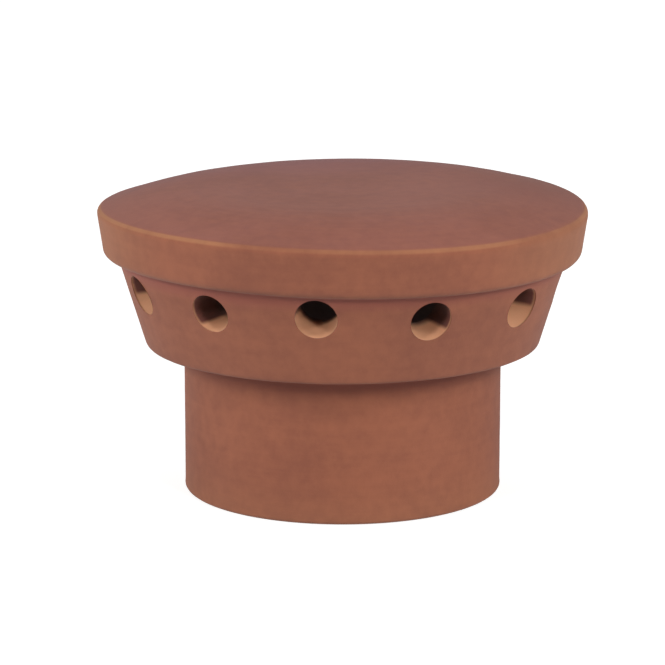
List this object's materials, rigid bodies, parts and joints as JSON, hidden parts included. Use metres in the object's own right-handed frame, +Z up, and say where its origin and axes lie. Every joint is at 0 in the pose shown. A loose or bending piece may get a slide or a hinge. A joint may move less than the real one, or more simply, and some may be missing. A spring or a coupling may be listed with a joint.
{
  "type": "flue terminal",
  "caption": "Round clay flue terminal with a domed disc cap, a ring of side vents in a tapered bowl, a seating ledge and an open spigot.",
  "frame": {"origin": "centre of the spigot's foot, where the terminal stands", "axes": "+Z up along the axis of the spigot and cap; one vent faces -Y, which is the front"},
  "size_m": [0.265, 0.265, 0.166],
  "materials": {
    "terracotta": "matt, unglazed"
  },
  "bodies": {
    "root": {"flue_terminal": "terracotta"}
  },
  "joints": []
}
